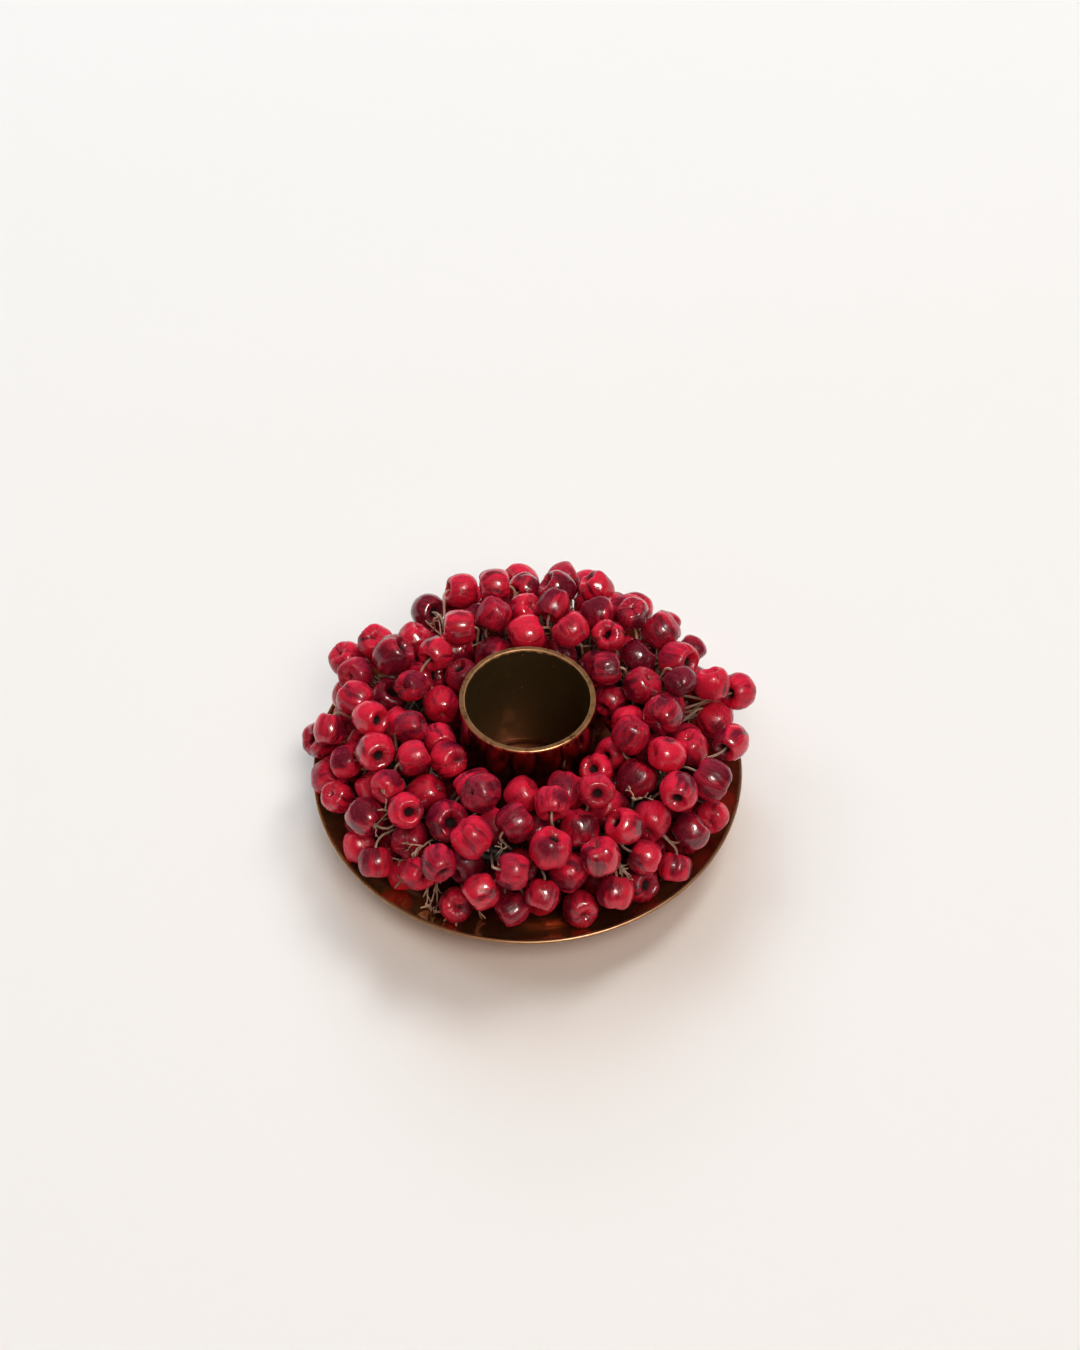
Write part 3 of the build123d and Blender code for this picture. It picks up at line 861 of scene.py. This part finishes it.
def add_berry(skin, draws, solid, settings):
    """Adds one dried berry in the place of its solid."""
    middle, way, radius, half = read_berry(solid)
    open_eye = draws.uniform() < settings.open_eyes
    eye = draws.uniform(*(OPEN_WIDTH if open_eye else SHUT_WIDTH))
    outline = berry_outline(eye, draws.uniform(*(OPEN_DEPTH if open_eye else SHUT_DEPTH)))
    around = settings.around
    angles = (np.arange(around) * 2 * math.pi / around)[None]
    share, rise = outline[:, :1], outline[:, 1:]
    stand, creases = shrivelled(draws, angles, rise, settings)
    outer = np.clip((share - 0.2) / 0.3, 0, 1)
    moved = np.minimum((stand + creases) * outer, STAND_OUT)
    first, second = across(way)
    tilt = draws.uniform(*LEAN, 2)
    ragged = sum(
        draws.uniform(*RAGGED) * np.cos(count * angles + draws.uniform(0, 6)) for count in (2, 3, 5)
    )
    radial = share * (1 + moved + ragged * np.exp(-(((share - eye) / 0.12) ** 2)) * (rise > 0))
    sideways = radial * np.cos(angles), radial * np.sin(angles)
    lean = tilt[0] * sideways[0] + tilt[1] * sideways[1]
    height = rise * (1 + 0.6 * moved) + lean * rise * np.abs(rise)
    folds = np.cos(draws.integers(7, 13) * angles + draws.uniform(0, 6))
    pucker = 1 + folds * np.exp(-(((share - 0.36) / 0.14) ** 2))
    height = height - draws.uniform(0, settings.pucker) * pucker * np.sign(rise)
    points = (
        middle
        + radius * (sideways[0][..., None] * first + sideways[1][..., None] * second)
        + half * height[..., None] * way
    )
    rows = len(outline)
    ends = np.stack((middle + way * half * outline[0, 1], middle + way * half * outline[-1, 1]))
    seed = draws.uniform(0, 40, 3)
    parts = np.broadcast_arrays(np.cos(angles), np.sin(angles), rise)
    place = np.stack(parts, axis=-1).reshape(-1, 3) + seed
    mouth = np.where(rise > 0, eye + 0.05, PIT_MOUTH)
    hollow = np.clip((mouth - share) / 0.08, 0, 1)
    hollow = hollow * np.clip((EYE_RIM + 0.04 - np.abs(rise)) / 0.25, 0, 1)
    hollow = np.broadcast_to(hollow, height.shape).ravel()
    # Depth in a crease, which carries the painted shade in the creases.
    sunk = np.clip(-creases / 0.07, 0, 1).ravel()
    plug = 0.0 if open_eye else max(0.0, draws.uniform(*PLUG_RANGE))
    plugged = np.broadcast_to(plug * (rise > 0), height.shape).ravel()
    skin.grow(
        np.vstack((points.reshape(-1, 3), ends)),
        capped(rows_of_faces(rows, around, False), rows, around),
        place=np.vstack((place, place[:1], place[-1:])),
        hollow=np.append(hollow, (1.0, 1.0)),
        crease=np.append(sunk, (0.0, 0.0)),
        plugged=np.append(plugged, (0.0, plug)),
        age=draws.normal(*AGE),
        dusty=draws.uniform(*DUST),
    )


class RING_OT_berries(bpy.types.Operator):
    """Lays a dried, wrinkled berry in the place of each berry solid"""

    bl_idname = "candle_ring.berries"
    bl_label = "Berries"

    def execute(self, context):
        settings = context.scene.candle_ring.berry
        draws = np.random.default_rng(settings.seed)
        material = berry_skin()
        for sprig in SPRIGS:
            skin = Skin()
            for solid in split_solids(f"{sprig}_berries"):
                add_berry(skin, draws, solid, settings)
            skin.piece(f"{sprig}_fruit", material, WREATH, "berry_skin", [f"{sprig}_berries"])
        return {"FINISHED"}


# Stalks, twigs and wires

# Forked twigs over the saucer, where berries fell off: ring angle, tube angle and length in mm
TWIG_SPOTS = (
    (239, -20, 22),
    (246, -35, 26),
    (232, 0, 20),
)
TWIG_TURNS = range(0, 360, 3)
TWIG_TILTS = range(-20, 120, 7)
TWIG_LENGTH = 17 * MM
TWIG_SPACE = 9 * MM


def berry_places():
    """Middle and radius of every berry's solid."""
    read = [read_berry(solid) for sprig in SPRIGS for solid in split_solids(f"{sprig}_berries")]
    return np.array([berry[0] for berry in read]), np.array([berry[2] for berry in read])


def gaps(count):
    """Ring and tube angles of the widest gaps between the berries, set well apart."""
    middles, radii = berry_places()
    along = np.linspace(0.4, 1, 8)
    found = []
    for turn in TWIG_TURNS:
        for tilt in TWIG_TILTS:
            line = ring_points(turn, tilt, WINDING_REACH + TWIG_LENGTH * along)
            room = (np.linalg.norm(line[:, None] - middles[None], axis=2) - radii).min()
            found.append((room, turn, tilt, line[-1]))
    found.sort(key=lambda spot: spot[0], reverse=True)
    kept = []
    for _, turn, tilt, end in found:
        if len(kept) == count:
            break
        if all(np.linalg.norm(end - other) > TWIG_SPACE for *_, other in kept):
            kept.append((turn, tilt, end))
    return [(turn, tilt) for turn, tilt, _ in kept]


def wavy(draws, start, way, length, waver, count=7):
    """Points of a line that sets out in a way and wavers to the sides."""
    first, second = across(way)
    along = np.linspace(0, 1, count)[:, None]
    aside = np.cumsum(draws.normal(0, waver, (count, 2)), axis=0) * along
    return start + length * (along * way + aside[:, :1] * first + aside[:, 1:] * second)


def over_dish(points, margin):
    """Points lifted to a margin over the saucer's inner face where they are under it."""
    out = np.clip(np.hypot(points[:, 0], points[:, 1]) - FOOT_RADIUS, 0, WALL_RUN)
    floor = saucer_low.z + SWEEP_RADIUS - np.sqrt(BOWL_RADIUS**2 - out**2)
    lifted = points.copy()
    lifted[:, 2] = np.maximum(points[:, 2], floor + margin)
    return lifted


def forked(skin, draws, start, way, length, radius, forks):
    """Twig that wavers and tapers, with shorter twigs forking off and a small knob at its end."""
    line = over_dish(smooth_line(wavy(draws, start, way, length, 0.05), 2), 3 * radius)
    share = np.linspace(0, 1, len(line))
    radii = radius * (1 - 0.5 * share) * (1 + 0.12 * draws.normal(size=len(line)))
    radii[-3:] *= (1.35, 1.7, 0.9)
    skin.grow(*tube(line, radii))
    for _ in range(forks):
        place = int(len(line) * draws.uniform(0.35, 0.85))
        first, second = across(way)
        spin = draws.uniform(0, 2 * math.pi)
        lean = math.radians(draws.uniform(30, 65))
        aside = math.cos(spin) * first + math.sin(spin) * second
        side = math.cos(lean) * way + math.sin(lean) * aside
        shorter = length * draws.uniform(0.25, 0.5)
        forked(skin, draws, line[place], side, shorter, radius * 0.7, forks - 1)


class RING_OT_stalks(bpy.types.Operator):
    """Gives the sprigs' stems and stalks their dry bark"""

    bl_idname = "candle_ring.stalks"
    bl_label = "Stalks"

    def execute(self, context):
        material = bark()
        for sprig in SPRIGS:
            stalks = frame["nodes"][f"{sprig}_stalks"]
            stalks.data.materials.clear()
            stalks.data.materials.append(material)
        return {"FINISHED"}


class RING_OT_twigs(bpy.types.Operator):
    """Adds the forked dry twigs that show in the wreath's bare spots"""

    bl_idname = "candle_ring.twigs"
    bl_label = "Bare twigs"

    def execute(self, context):
        settings = context.scene.candle_ring.twig
        draws = np.random.default_rng(settings.seed + 1)
        skin = Skin()
        spots = [(turn, tilt, length * MM) for turn, tilt, length in TWIG_SPOTS]
        spots += [(turn, tilt, TWIG_LENGTH) for turn, tilt in gaps(settings.twigs)]
        for turn, tilt, length in spots:
            start = ring_points(turn, tilt, WINDING_REACH)
            out = unit(start - ring_points(turn, tilt, 0))
            way = unit(out + draws.normal(0, 0.12, 3))
            forked(skin, draws, start, way, length, settings.twig, 3)
        skin.piece("bare_twigs", bpy.data.materials["stalk_bark"], WREATH, "stalk_bark")
        return {"FINISHED"}


class RING_OT_wires(bpy.types.Operator):
    """Winds the binding wire along the hoop and dresses the hoop"""

    bl_idname = "candle_ring.wires"
    bl_label = "Hoop and binding"

    def execute(self, context):
        settings = context.scene.candle_ring.twig
        turns = np.arange(0, settings.turns - 0.25, 1 / 24)
        line = ring_points(turns * 360 / settings.turns, turns * 360, WINDING_REACH - settings.wire)
        skin = Skin()
        skin.grow(*tube(line, settings.wire, 8))
        metal = wire_metal("tying_wire", TYING_METAL)
        skin.piece("binding_twist", metal, WREATH, "tying_wire", ["binding_wire"])
        hoop = frame["nodes"]["wire_hoop"]
        hoop.data.materials.clear()
        hoop.data.materials.append(wire_metal("hoop_wire", HOOP_METAL))
        return {"FINISHED"}


# Stage

PHOTO_SIZE = (1080, 1350)
SENSOR = 36.0
WALL_SHARE = 0.17  # brightness of the room's walls as a share of its ceiling's
FAR_FLOOR = 0.98  # brightness of the floor out of the lamps' reach, as a share of its colour
FLOOR_REACH = 200.0
LAMPS_REACH = (0.7, 1.8)  # distances between which the lit floor gives way to the far one
SKYLINE = (0.2, 0.08)  # rises of sight between which the room gives way to the far floor's colour
ROOM_LIGHT = (1.0, 0.84, 0.72)

# Lamps: name, place, width, share of the key light's power, colour, and whether each lights matt
# and glossy surfaces
LAMPS = (
    ("window", (-0.4, 3.24, 2.28), 2.0, 1.0, (0.64, 0.85, 1.0), True, False),
    ("skylight", (1.7, 2.73, 3.83), 1.5, 1.04, (1.0, 1.0, 0.97), True, False),
    ("side", (-2.44, 1.41, 2.83), 1.8, 0.34, (0.9, 0.96, 1.0), True, False),
    ("front", (0.7, -1.45, 2.55), 1.7, 0.42, (1.0, 0.88, 0.77), True, True),
    ("glint", (0.9, -1.2, 2.4), 0.75, 0.85, (1.0, 0.97, 0.94), False, True),
)


def seen_rays(tree):
    """One for rays that show a surface, straight or mirrored, and zero for rays that light it."""
    rays = node(tree, "ShaderNodeLightPath").outputs
    mirrored = math_node(tree, "MAXIMUM", rays["Is Glossy Ray"], rays["Is Transmission Ray"])
    return math_node(tree, "MAXIMUM", rays["Is Camera Ray"], mirrored)


class RING_OT_stage(bpy.types.Operator):
    """Sets the pale floor, the soft light and the camera"""

    bl_idname = "candle_ring.stage"
    bl_label = "Floor, light and camera"

    def execute(self, context):
        settings = context.scene.candle_ring.stage
        scene = context.scene
        scene.view_settings.view_transform = "Standard"

        mesh = bpy.data.meshes.new("floor")
        corners = FLOOR_REACH * np.array(((-1, -1, 0), (1, -1, 0), (1, 1, 0), (-1, 1, 0)))
        mesh.from_pydata(corners.tolist(), [], [(0, 1, 2, 3)])
        floor = bpy.data.objects.new("floor", mesh)
        scene.collection.objects.link(floor)
        material, tree, shader = new_material("pale_floor")
        shader.inputs["Base Color"].default_value = rgba(settings.floor)
        shader.inputs["Roughness"].default_value = 0.9
        shader.inputs["Specular IOR Level"].default_value = 0.1
        length = node(tree, "ShaderNodeVectorMath", {0: object_places(tree)}, operation="LENGTH")
        far = spread(tree, length.outputs["Value"], *LAMPS_REACH)
        inputs = {"Color": rgba(settings.floor), "Strength": FAR_FLOOR}
        glow = node(tree, "ShaderNodeEmission", inputs)
        inputs = {
            0: times(tree, seen_rays(tree), far),
            1: shader.outputs["BSDF"],
            2: glow.outputs["Emission"],
        }
        ground = node(tree, "ShaderNodeMixShader", inputs)
        tree.links.new(ground.outputs["Shader"], tree.nodes["Material Output"].inputs["Surface"])
        material.cycles.emission_sampling = "NONE"
        mesh.materials.append(material)

        world = bpy.data.worlds.new("soft_room")
        world.use_nodes = True
        tree = world.node_tree
        background = tree.nodes["Background"]
        way = node(tree, "ShaderNodeTexCoord").outputs["Generated"]
        rise = node(tree, "ShaderNodeSeparateXYZ", {"Vector": way}).outputs["Z"]
        wall = WALL_SHARE * settings.fill
        room = spread(tree, rise, 0.0, 1.0, wall, settings.fill)
        skyline = times(tree, seen_rays(tree), spread(tree, rise, *SKYLINE))
        colour = mixed(tree, skyline, rgba(ROOM_LIGHT), rgba(settings.floor))
        strength = plus(tree, room, times(tree, skyline, FAR_FLOOR - wall))
        tree.links.new(colour, background.inputs["Color"])
        tree.links.new(strength, background.inputs["Strength"])
        scene.world = world

        for name, place, width, share, colour, on_matt, on_gloss in LAMPS:
            lamp = bpy.data.lights.new(name, "AREA")
            lamp.size = width
            lamp.energy = share * settings.key
            lamp.color = colour
            light = bpy.data.objects.new(name, lamp)
            light.location = place
            light.visible_diffuse = on_matt
            light.visible_glossy = on_gloss
            light.rotation_euler = (-Vector(place)).to_track_quat("-Z", "Y").to_euler()
            scene.collection.objects.link(light)

        aim_x = math.atan((settings.aim[0] - PHOTO_SIZE[0] / 2) / settings.focal)
        aim_y = math.atan((settings.aim[1] - PHOTO_SIZE[1] / 2) / settings.focal)
        down = settings.elevation - aim_y
        forward = Vector((0, math.cos(down), -math.sin(down)))
        right = Vector((1, 0, 0))
        up = right.cross(forward)
        ahead = math.cos(aim_x) * forward - math.sin(aim_x) * right
        beside = math.cos(aim_x) * right + math.sin(aim_x) * forward
        lens = bpy.data.cameras.new("camera")
        lens.sensor_width = SENSOR
        lens.lens = SENSOR * settings.focal / max(PHOTO_SIZE)
        lens.clip_start = 0.01
        camera = bpy.data.objects.new("camera", lens)
        back = Vector((0, -math.cos(settings.elevation), math.sin(settings.elevation)))
        place = Vector((0, 0, saucer_high.z)) + settings.distance * back
        turn = Matrix((beside, up, -ahead)).transposed().to_4x4()
        camera.matrix_world = Matrix.Translation(place) @ turn
        scene.collection.objects.link(camera)
        scene.camera = camera
        return {"FINISHED"}


class RING_PT_panel(bpy.types.Panel):
    """Lists the candle ring's settings and makers"""

    bl_idname = "RING_PT_panel"
    bl_label = "Candle Ring"
    bl_space_type = "VIEW_3D"
    bl_region_type = "UI"
    bl_category = "Candle Ring"

    def draw(self, context):
        settings = context.scene.candle_ring
        for group in (settings.brass, settings.berry, settings.twig, settings.stage):
            box = self.layout.box()
            for name in group.bl_rna.properties.keys():
                if name not in {"rna_type", "name"}:
                    box.prop(group, name)
        for operator in OPERATORS:
            self.layout.operator(operator.bl_idname)


OPERATORS = (
    RING_OT_saucer,
    RING_OT_cup,
    RING_OT_berries,
    RING_OT_stalks,
    RING_OT_twigs,
    RING_OT_wires,
    RING_OT_stage,
)
SETTINGS = (BrassSettings, BerrySettings, TwigSettings, StageSettings, RingSettings)
CLASSES = (*SETTINGS, *OPERATORS, RING_PT_panel)


def register():
    """Makes the settings, makers and panel known."""
    for each in CLASSES:
        bpy.utils.register_class(each)
    bpy.types.Scene.candle_ring = bpy.props.PointerProperty(type=RingSettings)


def unregister():
    """Takes them away again."""
    del bpy.types.Scene.candle_ring
    for each in reversed(CLASSES):
        bpy.utils.unregister_class(each)


def main():
    """Makes every piece in order."""
    register()
    bpy.ops.candle_ring.saucer()
    bpy.ops.candle_ring.cup()
    bpy.ops.candle_ring.berries()
    bpy.ops.candle_ring.stalks()
    bpy.ops.candle_ring.twigs()
    bpy.ops.candle_ring.wires()
    bpy.ops.candle_ring.stage()


if __name__ == "__main__":
    main()
